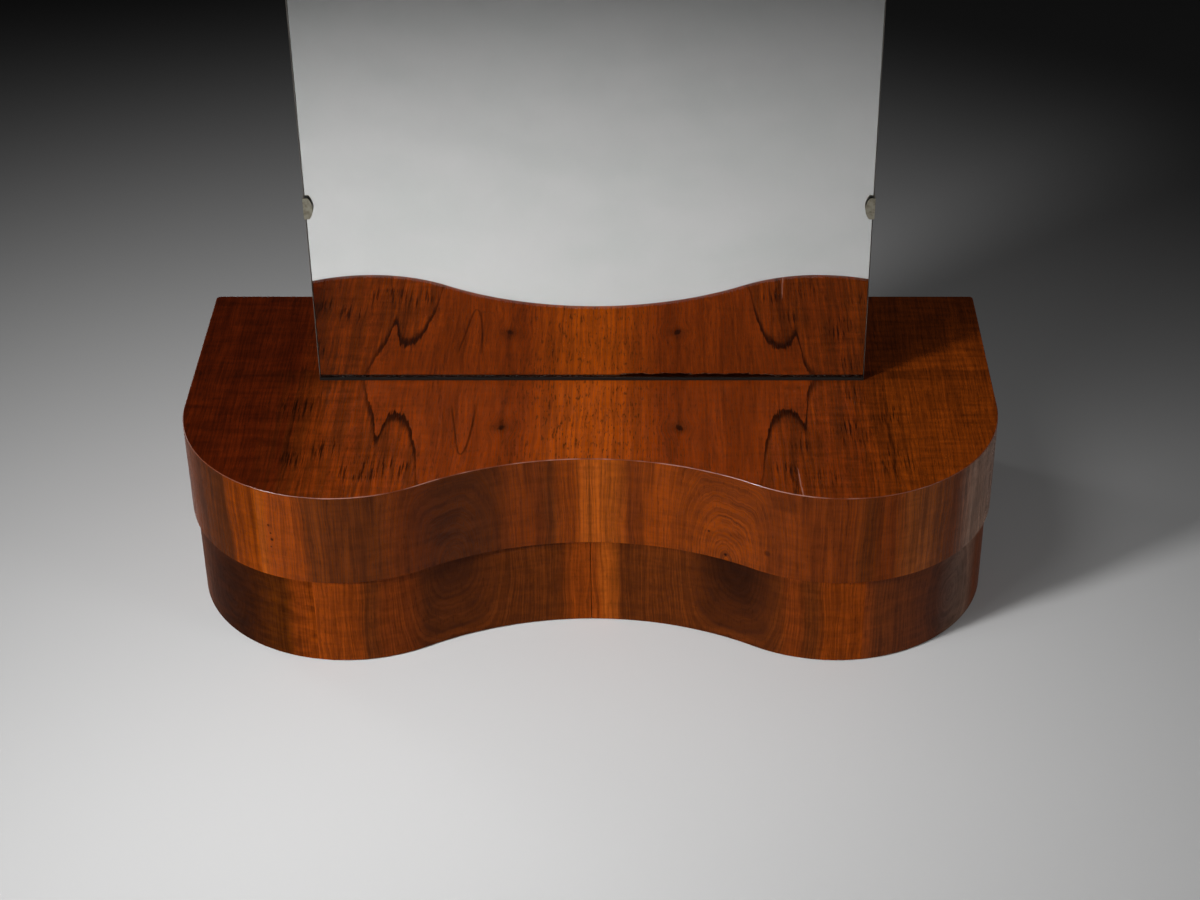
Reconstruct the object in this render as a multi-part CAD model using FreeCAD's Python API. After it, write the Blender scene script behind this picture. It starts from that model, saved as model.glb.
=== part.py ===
import FreeCAD, Part
import math
import os

# Dressing mirror: a tall frameless glass on a low two-tier base with a wavy front, in millimetres.
# +X is the right side, +Y the back and +Z up. The origin is on the floor under the middle of the base.

# Base outline
base_width = 1000.0
base_depth = 465.0
swell_radius = 200.0
dip_depth = 82.5
back_corner_radius = 5.0
overhang = 5.0

# Upper case
upper_height = 123.0
veneer = 1.0
top_core = 19.0
wall = 17.0
case_floor_thickness = 12.0
upper_leaf_joint_angle = 63.0
glue_block_leg = 26.0
glue_block_length = 70.0

# Mirror
mirror_front_y = 25.5
mirror_width = 680.0
mirror_height = 1400.0
glass_thickness = 6.0
glass_bevel = 1.2
seat_height = 3.0
seat_lip = 1.0
panel_thickness = 18.0
cleat_height = 45.0
cleat_depth = 28.0
cleat_end_setback = 40.0
cleat_screw_count = 2
cleat_screw_radius = 2.0
cleat_screw_bite = 8.0
cleat_head_radius = 4.0
cleat_head_height = 2.5

# Clips at the glass edges
clips_per_side = 3
clip_end_distance = 242.0
clip_height = 28.0
clip_sheet = 1.5
clip_lip_middle = 11.5
clip_lip_end = 6.5
clip_screw_radius = 1.4
clip_screw_bite = 16.0
clip_head_radius = 3.2
clip_head_crown = 2.2
clip_head_height = 1.6

# Plinth and what carries the drawers
lower_height = 123.0
plinth_wall = 18.0
divider_thickness = 18.0
divider_setback = 3.0
runner_width = 14.0
runner_height = 14.0
runner_lift = 6.0
stop_depth = 12.0
stop_size = 30.0
stop_lift = 40.0
stop_inset = 60.0
pull_depth = 12.0
pull_length = 22.0
pull_height = 86.0
pull_round = 7.0

# Drawers
drawer_front_thickness = 18.0
drawer_side_thickness = 12.0
drawer_back_thickness = 12.0
drawer_bottom_thickness = 6.0
drawer_bottom_lift = 7.0
groove_depth = 5.0
drawer_back_drop = 8.0
housing_depth = 4.0
housing_setback = 8.0
lower_leaf_joint_angle = 81.0

# Clearances
glue_line = 0.25
slot_gap = 0.3
screw_gap = 0.1
tier_gap = 1.2
floor_gap = 1.5
seam_gap = 1.0
middle_gap = 0.8
side_gap = 1.0
runner_gap = 0.3
stop_gap = 0.5
groove_gap = 0.2

# Levels
tier_z = lower_height
top_z = lower_height + upper_height
core_top_z = top_z - veneer
core_under_z = core_top_z - top_core
case_floor_top_z = tier_z + case_floor_thickness
mirror_top_z = top_z + mirror_height

# Plan geometry: two swells joined by a dip that is tangent to both
front_y = -base_depth / 2
back_y = base_depth / 2
swell_x = base_width / 2 - swell_radius
swell_y = front_y + swell_radius
dip_y = front_y + dip_depth
rise = swell_y - dip_y
dip_radius = (swell_x**2 + rise**2 - swell_radius**2) / (2 * (swell_radius - rise))
dip_centre_y = dip_y - dip_radius
tangent_angle = math.degrees(math.atan2(dip_centre_y - swell_y, -swell_x))

# Faces that other pieces meet
case_back_y = back_y - veneer - glue_line
core_inset = veneer + glue_line
upper_outer_x = base_width / 2 - core_inset
upper_inner_x = upper_outer_x - wall
upper_back_inner_y = case_back_y - wall
glass_back_y = mirror_front_y + glass_thickness
panel_back_y = glass_back_y + panel_thickness
panel_middle_y = (glass_back_y + panel_back_y) / 2
mirror_edge_x = mirror_width / 2
plinth_outer_x = base_width / 2 - overhang
plinth_inner_x = plinth_outer_x - plinth_wall
plinth_front_y = swell_y + seam_gap
plinth_back_inner_y = case_back_y - plinth_wall
divider_x = divider_thickness / 2
front_inner_inset = overhang + drawer_front_thickness
divider_front_y = dip_y + front_inner_inset + divider_setback
runner_top_z = runner_lift + runner_height


def vector(x, y, z=0.0):
    return FreeCAD.Vector(x, y, z)


def block(x_low, x_high, y_low, y_high, z_low, z_high):
    size = (x_high - x_low, y_high - y_low, z_high - z_low)
    return Part.makeBox(*size, vector(x_low, y_low, z_low))


def mirrored(shape):
    return shape.mirror(vector(0, 0), vector(1, 0))


def with_mirror(shape):
    return {"right": shape, "left": mirrored(shape)}


def on_circle(x, y, radius, degrees):
    angle = math.radians(degrees)
    return vector(x + radius * math.cos(angle), y + radius * math.sin(angle))


def arc(start, middle, end):
    return Part.Arc(start, middle, end).toShape()


def right_half_edges(inset):
    """Edges of the outline's right half, from the middle of the back round to the dip."""
    side = base_width / 2 - inset
    back = back_y - inset
    swell = swell_radius - inset
    corner = max(back_corner_radius - inset, 0.0)
    side_start = vector(side, back - corner)
    side_end = vector(side, swell_y)
    swell_middle = on_circle(swell_x, swell_y, swell, tangent_angle / 2)
    swell_end = on_circle(swell_x, swell_y, swell, tangent_angle)
    dip_end = vector(0, dip_y + inset)
    dip_angle = (math.degrees(math.atan2(swell_end.y - dip_centre_y, swell_end.x)) + 90) / 2
    dip_middle = on_circle(0, dip_centre_y, dip_radius + inset, dip_angle)
    back_end = vector(side - corner, back)
    edges = [Part.makeLine(vector(0, back), back_end)]
    if corner > 0:
        corner_middle = on_circle(side - corner, back - corner, corner, 45)
        edges.append(arc(back_end, corner_middle, side_start))
    edges.append(Part.makeLine(side_start, side_end))
    edges.append(arc(side_end, swell_middle, swell_end))
    edges.append(arc(swell_end, dip_middle, dip_end))
    return edges


def wavy_prism(inset, z_low, z_high):
    """Solid with the base's outline moved inwards by inset."""
    right = right_half_edges(inset)
    left = [mirrored(edge) for edge in right]
    wire = Part.Wire(Part.__sortEdges__(right + left))
    face = Part.Face(wire)
    face.translate(vector(0, 0, z_low))
    return face.extrude(vector(0, 0, z_high - z_low))


def wavy_ring(outer_inset, inner_inset, z_low, z_high):
    return wavy_prism(outer_inset, z_low, z_high).cut(wavy_prism(inner_inset, z_low, z_high))


def region(x_low, x_high, y_low, y_high):
    """Upright block over part of the plan, taller than the base."""
    return block(x_low, x_high, y_low, y_high, -top_z, 2 * top_z)


def along_x(radius, x_low, x_high, y, z):
    return Part.makeCylinder(radius, x_high - x_low, vector(x_low, y, z), vector(1, 0, 0))


def along_z(radius, z_low, z_high, x, y):
    return Part.makeCylinder(radius, z_high - z_low, vector(x, y, z_low))


def leaf_joint_x(inset, degrees):
    """Place on the swell where two veneer leaves meet."""
    return swell_x + (swell_radius - inset) * math.cos(math.radians(degrees))


def make_top():
    slot = block(
        -mirror_edge_x - slot_gap,
        mirror_edge_x + slot_gap,
        glass_back_y - slot_gap,
        panel_back_y + slot_gap,
        tier_z,
        2 * top_z,
    )
    board = wavy_prism(core_inset, core_under_z, core_top_z).cut(slot)
    sheet = wavy_prism(0, core_top_z, top_z).cut(slot)
    leaves = with_mirror(sheet.common(region(0, base_width, -base_depth, base_depth)))
    return {
        "top_board": board,
        "top_veneer_left": leaves["left"],
        "top_veneer_right": leaves["right"],
    }


def make_upper_case():
    band = wavy_ring(core_inset, core_inset + wall, tier_z, core_under_z)
    front = band.common(region(-base_width, base_width, -base_depth, swell_y))
    side = band.common(region(upper_inner_x, base_width, swell_y, base_depth))
    back = block(-upper_inner_x, upper_inner_x, upper_back_inner_y, case_back_y, tier_z, core_under_z)
    floor = wavy_prism(core_inset + wall + glue_line, tier_z, case_floor_top_z)
    sides = with_mirror(side)
    return {
        "upper_front": front,
        "upper_side_left": sides["left"],
        "upper_side_right": sides["right"],
        "upper_back": back,
        "case_floor": floor.cut(Part.makeCompound(cleat_screw_holes())),
    }


def make_upper_veneer():
    skin = wavy_ring(0, veneer, tier_z, core_top_z)
    joint_x = leaf_joint_x(0, upper_leaf_joint_angle)
    inner = with_mirror(skin.common(region(0, joint_x, -base_depth, swell_y)))
    outer = with_mirror(skin.common(region(joint_x, base_width, -base_depth, case_back_y)))
    pieces = {"upper_veneer_back": skin.common(region(-base_width, base_width, case_back_y, base_depth))}
    for hand in ("left", "right"):
        pieces[f"upper_veneer_{hand}_inner"] = inner[hand]
        pieces[f"upper_veneer_{hand}_outer"] = outer[hand]
    return pieces


def glue_block(place, turn):
    """Three-sided block under the top, its two square faces against the top and a wall."""
    corners = [vector(0, 0, 0), vector(-glue_block_leg, 0, 0), vector(0, 0, -glue_block_leg)]
    face = Part.Face(Part.makePolygon(corners + corners[:1]))
    face.translate(vector(0, -glue_block_length / 2))
    prism = face.extrude(vector(0, glue_block_length))
    prism.rotate(vector(0, 0), vector(0, 0, 1), turn)
    prism.translate(place)
    return prism


def make_glue_blocks():
    side_length = upper_back_inner_y - swell_y
    blocks = []
    for share in (0.25, 0.75):
        beside = vector(upper_inner_x, swell_y + share * side_length, core_under_z)
        blocks.append(glue_block(beside, 0))
        blocks.append(mirrored(blocks[-1]))
        behind = vector((2 * share - 1) * upper_inner_x, upper_back_inner_y, core_under_z)
        blocks.append(glue_block(behind, 90))
    return {"glue_blocks": Part.makeCompound(blocks)}


def cleat_screw_places():
    reach = mirror_edge_x - 2 * cleat_end_setback
    front_y_line = glass_back_y - cleat_depth / 2
    rear_y_line = panel_back_y + cleat_depth / 2
    for y in (front_y_line, rear_y_line):
        for index in range(cleat_screw_count):
            yield reach * (2 * index / (cleat_screw_count - 1) - 1), y


def cleat_screw_holes():
    low = case_floor_top_z - cleat_screw_bite
    high = case_floor_top_z + cleat_height
    radius = cleat_screw_radius + screw_gap
    return [along_z(radius, low, high, x, y) for x, y in cleat_screw_places()]


def make_socket():
    """Two cleats on the case floor that clamp the backing panel's foot, with their screws."""
    end_x = mirror_edge_x - cleat_end_setback
    low = case_floor_top_z
    high = low + cleat_height
    holes = Part.makeCompound(cleat_screw_holes())
    front = block(-end_x, end_x, glass_back_y - cleat_depth, glass_back_y, low, high)
    rear = block(-end_x, end_x, panel_back_y, panel_back_y + cleat_depth, low, high)
    screws = []
    for x, y in cleat_screw_places():
        shank = along_z(cleat_screw_radius, low - cleat_screw_bite, high, x, y)
        head = along_z(cleat_head_radius, high, high + cleat_head_height, x, y)
        screws.append(shank.fuse(head).removeSplitter())
    return {
        "front_cleat": front.cut(holes),
        "rear_cleat": rear.cut(holes),
        "cleat_screws": Part.makeCompound(screws),
    }


def clip_levels():
    first = top_z + clip_end_distance
    last = mirror_top_z - clip_end_distance
    for index in range(clips_per_side):
        yield first + (last - first) * index / (clips_per_side - 1)


def clip_screw_hole(z):
    low = mirror_edge_x - clip_screw_bite
    high = mirror_edge_x + clip_sheet
    return along_x(clip_screw_radius + screw_gap, low, high, panel_middle_y, z)


def mirror_clip(z):
    """Bent strip: a plate on the edge of glass and panel, and a rounded lip over the glass."""
    outer_x = mirror_edge_x + clip_sheet
    lip_y = mirror_front_y - clip_sheet
    low = z - clip_height / 2
    high = z + clip_height / 2
    lower_outer = vector(outer_x, lip_y, low)
    lower_inner = vector(outer_x - clip_lip_end, lip_y, low)
    middle_inner = vector(outer_x - clip_lip_middle, lip_y, z)
    upper_inner = vector(outer_x - clip_lip_end, lip_y, high)
    upper_outer = vector(outer_x, lip_y, high)
    edges = [
        Part.makeLine(lower_outer, lower_inner),
        arc(lower_inner, middle_inner, upper_inner),
        Part.makeLine(upper_inner, upper_outer),
        Part.makeLine(upper_outer, lower_outer),
    ]
    lip = Part.Face(Part.Wire(edges)).extrude(vector(0, clip_sheet))
    plate = block(mirror_edge_x, outer_x, mirror_front_y, panel_back_y, low, high)
    return lip.fuse(plate).removeSplitter().cut(clip_screw_hole(z))


def clip_screw(z):
    face_x = mirror_edge_x + clip_sheet
    shank = along_x(clip_screw_radius, mirror_edge_x - clip_screw_bite, face_x, panel_middle_y, z)
    head_place = vector(face_x, panel_middle_y, z)
    head = Part.makeCone(
        clip_head_radius, clip_head_crown, clip_head_height, head_place, vector(1, 0, 0)
    )
    return shank.fuse(head).removeSplitter()


def make_mirror():
    glass = block(
        -mirror_edge_x,
        mirror_edge_x,
        mirror_front_y,
        glass_back_y,
        top_z + seat_height,
        mirror_top_z,
    )
    front_face = [face for face in glass.Faces if face.CenterOfMass.y < mirror_front_y + glass_bevel / 2][0]
    seat = block(
        -mirror_edge_x,
        mirror_edge_x,
        mirror_front_y - seat_lip,
        glass_back_y - slot_gap,
        top_z,
        top_z + seat_height,
    )
    panel = block(
        -mirror_edge_x, mirror_edge_x, glass_back_y, panel_back_y, case_floor_top_z, mirror_top_z
    )
    clips = []
    screws = []
    for z in clip_levels():
        hole = clip_screw_hole(z)
        panel = panel.cut(hole).cut(mirrored(hole))
        clips.append(mirror_clip(z))
        screws.append(clip_screw(z))
    screws += [mirrored(screw) for screw in screws]
    return {
        "mirror_glass": glass.makeChamfer(glass_bevel, front_face.Edges),
        "glass_seat": seat,
        "backing_panel": panel,
        "mirror_clips_right": Part.makeCompound(clips),
        "mirror_clips_left": mirrored(Part.makeCompound(clips)),
        "clip_screws": Part.makeCompound(screws),
    }


def plinth_side():
    """Right wall of the plinth, with a finger pull at the drawer front's end."""
    board = block(plinth_inner_x, plinth_outer_x, plinth_front_y, case_back_y, 0, tier_z)
    middle_z = tier_z / 2
    pull = block(
        plinth_outer_x - pull_depth,
        plinth_outer_x + pull_depth,
        plinth_front_y - pull_length,
        plinth_front_y + pull_length,
        middle_z - pull_height / 2,
        middle_z + pull_height / 2,
    )
    inner_corner = [
        edge
        for edge in pull.Edges
        if edge.BoundBox.XMax < plinth_outer_x and edge.BoundBox.YMin > plinth_front_y
    ]
    return board.cut(pull.makeFillet(pull_round, inner_corner))


def make_plinth():
    sides = with_mirror(plinth_side())
    back = block(-plinth_inner_x, plinth_inner_x, plinth_back_inner_y, case_back_y, 0, tier_z)
    divider = block(-divider_x, divider_x, divider_front_y, plinth_back_inner_y, 0, tier_z)
    outer_runner = block(
        plinth_inner_x - runner_width,
        plinth_inner_x,
        plinth_front_y,
        plinth_back_inner_y,
        runner_lift,
        runner_top_z,
    )
    inner_runner = block(
        divider_x,
        divider_x + runner_width,
        divider_front_y,
        plinth_back_inner_y,
        runner_lift,
        runner_top_z,
    )
    runners = with_mirror(Part.makeCompound([outer_runner, inner_runner]))
    stops = []
    for near_x in (divider_x + stop_inset, plinth_inner_x - stop_inset - stop_size):
        stops.append(
            block(
                near_x,
                near_x + stop_size,
                plinth_back_inner_y - stop_depth,
                plinth_back_inner_y,
                stop_lift,
                stop_lift + stop_size,
            )
        )
    stops += [mirrored(stop) for stop in stops]
    return {
        "plinth_side_left": sides["left"],
        "plinth_side_right": sides["right"],
        "plinth_back": back,
        "centre_divider": divider,
        "runners_left": runners["left"],
        "runners_right": runners["right"],
        "drawer_stops": Part.makeCompound(stops),
    }


def right_drawer():
    """Box drawer whose front wraps the right swell, with two veneer leaves on it."""
    front_low = floor_gap
    front_high = tier_z - tier_gap
    box_low = runner_top_z + runner_gap
    box_high = front_high
    box_back_y = plinth_back_inner_y - stop_depth - stop_gap
    inner_x = divider_x + side_gap
    outer_x = plinth_inner_x - side_gap
    front_plan = region(middle_gap / 2, base_width, -base_depth, swell_y)
    box_plan = region(0, base_width, -base_depth, box_back_y + housing_setback)

    core = wavy_ring(overhang + core_inset, front_inner_inset, front_low, front_high)
    skin = wavy_ring(overhang, overhang + veneer, front_low, front_high)
    joint_x = leaf_joint_x(overhang, lower_leaf_joint_angle)
    inner_leaf = skin.common(region(middle_gap / 2, joint_x, -base_depth, swell_y))
    outer_leaf = skin.common(region(joint_x, base_width, -base_depth, swell_y))

    inside = wavy_prism(front_inner_inset + glue_line, box_low, box_high).common(box_plan)
    inner_wall_x = inner_x + drawer_side_thickness
    outer_wall_x = outer_x - drawer_side_thickness
    inner_side = inside.common(region(inner_x, inner_wall_x, -base_depth, base_depth))
    outer_side = inside.common(region(outer_wall_x, outer_x, -base_depth, base_depth))

    bottom_low = box_low + drawer_bottom_lift
    bottom_high = bottom_low + drawer_bottom_thickness
    bottom_plan = wavy_prism(front_inner_inset + glue_line, bottom_low, bottom_high).common(box_plan)
    bottom = bottom_plan.common(
        region(
            inner_wall_x - groove_depth + groove_gap,
            outer_wall_x + groove_depth - groove_gap,
            -base_depth,
            box_back_y,
        )
    )
    groove = block(
        inner_wall_x - groove_depth,
        outer_wall_x + groove_depth,
        -base_depth,
        base_depth,
        bottom_low,
        bottom_high + groove_gap,
    )
    back = block(
        inner_wall_x - housing_depth,
        outer_wall_x + housing_depth,
        box_back_y - drawer_back_thickness,
        box_back_y,
        bottom_high + groove_gap,
        box_high - drawer_back_drop,
    )
    cuts = groove.fuse(back)
    return {
        "front": core.common(front_plan),
        "veneer_inner": inner_leaf,
        "veneer_outer": outer_leaf,
        "side_inner": inner_side.cut(cuts),
        "side_outer": outer_side.cut(cuts),
        "back": back,
        "bottom": bottom,
    }


def make_drawers():
    pieces = {}
    for name, shape in right_drawer().items():
        for hand, handed_shape in with_mirror(shape).items():
            pieces[f"drawer_{hand}_{name}"] = handed_shape
    return pieces


def main():
    makers = (
        make_top,
        make_upper_case,
        make_upper_veneer,
        make_glue_blocks,
        make_socket,
        make_mirror,
        make_plinth,
        make_drawers,
    )
    os.makedirs("parts", exist_ok=True)
    for maker in makers:
        for name, shape in maker().items():
            if not shape.isValid() or not shape.Solids:
                raise ValueError(f"{name} is not a sound solid")
            shape.exportStep(f"parts/{name}.step")


main()
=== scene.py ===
import functools
import math

import bmesh
import bpy
from bpy.props import FloatProperty, FloatVectorProperty, IntProperty, PointerProperty
from mathutils import Matrix, Vector


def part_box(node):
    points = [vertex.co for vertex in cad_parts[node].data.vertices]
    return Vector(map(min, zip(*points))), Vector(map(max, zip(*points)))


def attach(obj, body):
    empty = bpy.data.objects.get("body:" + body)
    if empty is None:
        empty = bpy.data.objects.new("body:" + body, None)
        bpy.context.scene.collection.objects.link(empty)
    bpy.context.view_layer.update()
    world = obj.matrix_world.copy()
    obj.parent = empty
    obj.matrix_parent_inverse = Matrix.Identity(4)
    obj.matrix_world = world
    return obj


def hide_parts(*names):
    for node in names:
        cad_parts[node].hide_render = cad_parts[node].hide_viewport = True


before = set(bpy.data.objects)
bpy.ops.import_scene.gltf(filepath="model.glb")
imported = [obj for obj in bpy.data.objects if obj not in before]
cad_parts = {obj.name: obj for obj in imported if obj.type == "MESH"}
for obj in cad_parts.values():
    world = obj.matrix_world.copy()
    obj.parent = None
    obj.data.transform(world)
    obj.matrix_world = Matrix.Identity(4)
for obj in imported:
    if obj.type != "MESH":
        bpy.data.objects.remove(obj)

bl_info = {
    "name": "Dressing mirror on a walnut base",
    "version": (1, 0, 0),
    "blender": (4, 5, 0),
    "location": "View3D > Sidebar > Dressing mirror",
    "description": "Veneers the base, silvers the glass, fits the clips and sets the stage",
    "category": "Object",
}

MM = 0.001
HANDS = {"left": -1.0, "right": 1.0}
LEAF_MAP = "leaf_map"
# The dark growth line on each leaf of the top, as (millimetres from the middle, depth in millimetres).
HOOK_RUN = (195, 290)
HOOK_REACH = (-215, 50)
HOOKS = {
    "left": (
        (195, -212), (203, -185), (206, -143), (213, -108), (221, -71), (228, -56), (239, -45), (247, -53),
        (252, -76), (258, -100), (262, -76), (267, -48), (277, -13), (283, 24), (290, 48),
    ),
    "right": (
        (195, -212), (204, -190), (211, -124), (217, -86), (224, -58), (240, -41), (255, -55), (261, -72),
        (265, -40), (269, 2), (276, 24), (290, 48),
    ),
}
# Where black flecks crowd on each leaf of the top, as (from the middle, depth, radius) in millimetres.
FLECKS = {
    "left": ((311, -135, 34), (270, -175, 44), (230, -168, 38), (360, -40, 40), (352, -150, 30)),
    "right": (
        (318, -92, 42), (257, -112, 30), (235, -168, 26), (280, -190, 28), (358, -150, 44), (366, -55, 32),
        (325, -8, 26),
    ),
}
# Single marks on the top, in millimetres: (from the middle, depth), or only how far from the middle.
KNOT = (108, -83)
LOOP = (155, -140)
THREAD = 111
VEIN = 363
CRACK = 234
# Bands of colour on each leaf of the fronts, as (start, end, wood) in millimetres along the outline.
BANDS = {
    "upper_left_inner": (
        (0, 6, "amber"), (18, 36, "russet"), (44, 47, "umber"), (58, 92, "chestnut"), (122, 178, "umber"),
        (206, 236, "chestnut"), (262, 346, "umber"), (355, 396, "russet"), (401, 420, "sap"),
    ),
    "upper_right_inner": (
        (0, 30, "amber"), (48, 52, "chestnut"), (64, 96, "russet"), (112, 210, "russet"),
        (240, 325, "chestnut"), (340, 350, "umber"), (364, 376, "chestnut"), (398, 420, "tawny"),
    ),
    "upper_left_outer": (
        (380, 410, "sap"), (413, 450, "rosewood"), (457, 466, "bronze"), (476, 510, "bronze"),
        (540, 900, "umber"),
    ),
    "upper_right_outer": (
        # At 498 to 560 mm: a painted reflection of the floor at the right end.
        (380, 425, "tawny"), (462, 466, "umber"), (498, 560, "painted_sheen"), (620, 900, "umber"),
    ),
    "drawer_left_inner": (
        (0, 22, "russet"), (42, 60, "umber"), (72, 108, "umber"), (120, 205, "umber"),
        (228, 262, "chestnut"), (274, 282, "umber"), (292, 400, "russet"),
    ),
    "drawer_right_inner": (
        (0, 8, "russet"), (16, 24, "amber"), (38, 72, "umber"), (80, 120, "umber"), (125, 240, "umber"),
        (252, 266, "chestnut"), (275, 289, "umber"), (298, 400, "russet"),
    ),
    "drawer_left_outer": (
        (300, 338, "russet"), (362, 368, "chestnut"), (384, 402, "bronze"), (430, 520, "oxblood"),
        (560, 700, "bronze"),
    ),
    "drawer_right_outer": (
        (300, 348, "russet"), (361, 375, "umber"), (388, 418, "umber"), (440, 452, "umber"),
        # At 485 to 510 mm: a painted reflection of the floor at the right end.
        (485, 510, "painted_sheen"), (540, 700, "umber"),
    ),
}
# What the grain does on a leaf of the fronts. Places and lengths are in millimetres.
# The eye bends the growth lines within its reach and darkens its core; rings show inside the halo.
PLAIN_LEAF = {"length": 700, "joint": 0.0, "dull": 0.0, "specks": ()}
LEAVES = {
    "upper_inner": {
        "eye": (171, 123), "reach": 75, "squeeze": 0.52, "halo": 85, "seed": 1.3, "length": 900,
        "joint": 0.45, "gloss": 0.05, "mottle": 0.08,
    },
    "upper_outer": {
        "eye": (560, 190), "reach": 50, "squeeze": 0.3, "halo": 30, "seed": 4.4, "length": 950,
        "rings": 0.2, "ring": 3.5, "core": 10, "core_depth": 0.3, "core_wood": "streak",
        "mottle": 0.1, "sharp": 0.22,
    },
    "drawer_inner": {
        "reach": 75, "squeeze": 0.52, "halo": 80, "seed": 7.7, "rings": 0.42, "ring": 8.0,
        "dull": 0.2, "gloss": 0.03, "mottle": 0.12, "sharp": 0.10,
    },
    "drawer_outer": {
        "eye": (475, 62), "reach": 60, "squeeze": 0.6, "halo": 70, "seed": 2.9, "rings": 0.34, "ring": 8.0,
        "core": 60, "core_depth": 0.6, "dull": 0.15, "sharp": 0.10,
    },
}
# What one leaf has to itself. Specks are (along, height, radius, depth of colour).
OWN_MARKS = {
    "upper_left_inner": {
        "core": 80, "core_depth": 0.3, "core_wood": "plum", "rings": 0.34, "ring": 7.0, "sharp": 0.10,
        "specks": ((394, 197, 2.6, 0.8), (392, 186, 2.0, 0.8), (391, 177, 3.0, 0.9), (393, 166, 2.0, 0.7)),
    },
    "upper_right_inner": {
        "core": 20, "core_depth": 0.25, "core_wood": "umber", "rings": 0.36, "ring": 1.4, "sharp": 0.18,
        "specks": ((169, 131, 3.0, 0.95), (224, 152, 6.0, 0.6), (147, 160, 2.2, 0.8), (248, 232, 22, 0.35)),
    },
    "upper_left_outer": {"gloss": 0.015},
    "upper_right_outer": {"gloss": 0.07},
    "drawer_left_inner": {"eye": (168, 121), "core": 56, "core_depth": 0.55, "core_wood": "streak"},
    "drawer_right_inner": {"eye": (180, 121), "core": 78, "core_depth": 0.85, "core_wood": "pore"},
    "drawer_left_outer": {"core_wood": "pore", "gloss": 0.008, "mottle": 0.24},
    "drawer_right_outer": {"core_wood": "streak", "gloss": 0.07, "mottle": 0.12},
}
# Lamps as (place, what it points at, width) in metres and its spread in radians.
LAMPS = {
    "key": ((-2.66, -2.02, 1.9), (-0.25, -0.45, 0.0), 0.6, 1.0),
    "card": ((2.3, -1.5, 0.65), (0.3, 0.0, 0.2), 0.9, 1.6),
    "back": ((2.8, 1.6, 0.8), (0.3, 0.1, 0.5), 0.9, 1.4),
    "side": ((-2.8, 1.8, 0.8), (-0.2, 0.1, 0.6), 0.9, 1.4),
    "overhead": ((-1.2, -1.2, 2.8), (0.0, -0.55, 0.0), 1.2, 1.5),
}
FLOOR_HALF = 40.0
POOL_MIDDLE = (0.0, -0.3, 0.0)
POOL_REACH = (0.1, 2.3)
POOL_SLANT = 0.22
SENSOR_WIDTH = 36.0
# Points closer than this, in metres, count as one; a cut takes points closer than the second as on it.
TOUCH = 1e-6
CUT_REACH = 1e-7
# Facets along the straight sides, a back corner, a clip's lip and a screw's head.
SIDE_STEPS = 12
CORNER_STEPS = 6
LIP_STEPS = 14
HEAD_STEPS = 40
# A screw's head: the share of its radius left at the crown, and of its height that is rounded and slotted.
HEAD_CROWN = 0.86
HEAD_ROUNDED = 0.75
HEAD_SLOTTED = 0.45
# A face whose normal reaches this far along an axis faces that way.
FACING = 0.9
# Faces that meet at more than this angle, in radians, make an edge to be rounded.
SHARP_TURN = 1.0
# A small angle, so that a rounded edge doesn't bend the light on the flat face beside it.
SMOOTH_TURN = math.radians(10)
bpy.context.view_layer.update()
TOP_LOW, TOP_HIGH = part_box("top_veneer_right")
UPPER_LOW, UPPER_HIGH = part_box("upper_veneer_right_outer")
LOWER_LOW, LOWER_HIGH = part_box("drawer_right_veneer_outer")
PANEL_LOW, PANEL_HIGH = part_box("backing_panel")
GLASS_LOW, GLASS_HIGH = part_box("mirror_glass")
CLIP_LOW, CLIP_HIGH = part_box("mirror_clips_right")
SCREW_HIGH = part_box("clip_screws")[1]


def linear(hex_colour):
    """sRGB hex value to the linear colour that a shader socket takes."""
    channels = [int(hex_colour[i : i + 2], 16) / 255 for i in (1, 3, 5)]
    return tuple(c / 12.92 if c <= 0.04045 else ((c + 0.055) / 1.055) ** 2.4 for c in channels)


def colour_choice(label, use, hex_colour):
    """Colour property with its default given as sRGB hex."""
    return FloatVectorProperty(
        name=label, description=use, default=linear(hex_colour), size=3, min=0.0, max=1.0, subtype="COLOR"
    )


def length_choice(label, use, metres):
    """Length property in metres."""
    return FloatProperty(name=label, description=use, default=metres, min=0.0, unit="LENGTH", precision=4)


def power_choice(label, use, strength):
    """Strength of a lamp or of the light all round."""
    return FloatProperty(name=label, description=use, default=strength, min=0.0)


def count_choice(label, use, count, least):
    """Whole number, such as the facets along a curve."""
    return IntProperty(name=label, description=use, default=count, min=least)


class BaseSizes(bpy.types.PropertyGroup):
    """Outline of the base, which every leaf of veneer follows."""

    half_width: length_choice("Half width", "From the middle line to the side", TOP_HIGH.x)
    front: FloatProperty(
        name="Front",
        description="Where the swells stand furthest forward",
        default=TOP_LOW.y,
        unit="LENGTH",
    )
    back: length_choice("Back", "Where the back stands", TOP_HIGH.y)
    swell_radius: length_choice("Swell radius", "Radius of the two swells", 0.200)
    dip_depth: length_choice("Dip depth", "How far the middle lies behind the swells", 0.0825)
    corner_radius: length_choice("Back corner radius", "Rounding of the upright back corners", 0.005)
    overhang: length_choice("Overhang", "How far the upper tier stands out over the lower", 0.005)
    veneer: length_choice("Veneer", "Thickness of a leaf", TOP_HIGH.z - TOP_LOW.z)
    arris: length_choice("Arris", "Rounding worn into the top's edge", 0.0008)
    upper_joint: length_choice("Upper leaf joint", "Where two leaves meet on the upper swell", UPPER_LOW.x)
    lower_joint: length_choice("Lower leaf joint", "Where two leaves meet on the lower swell", LOWER_LOW.x)
    slot_gap: length_choice("Slot gap", "Play round the backing panel in the top", 0.0003)
    middle_gap: length_choice("Middle gap", "Gap between the drawers at the middle line", 0.0008)
    dip_steps: count_choice("Dip steps", "Facets along half the dip", 36, 6)
    swell_steps: count_choice("Swell steps", "Facets along a swell", 84, 12)


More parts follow.
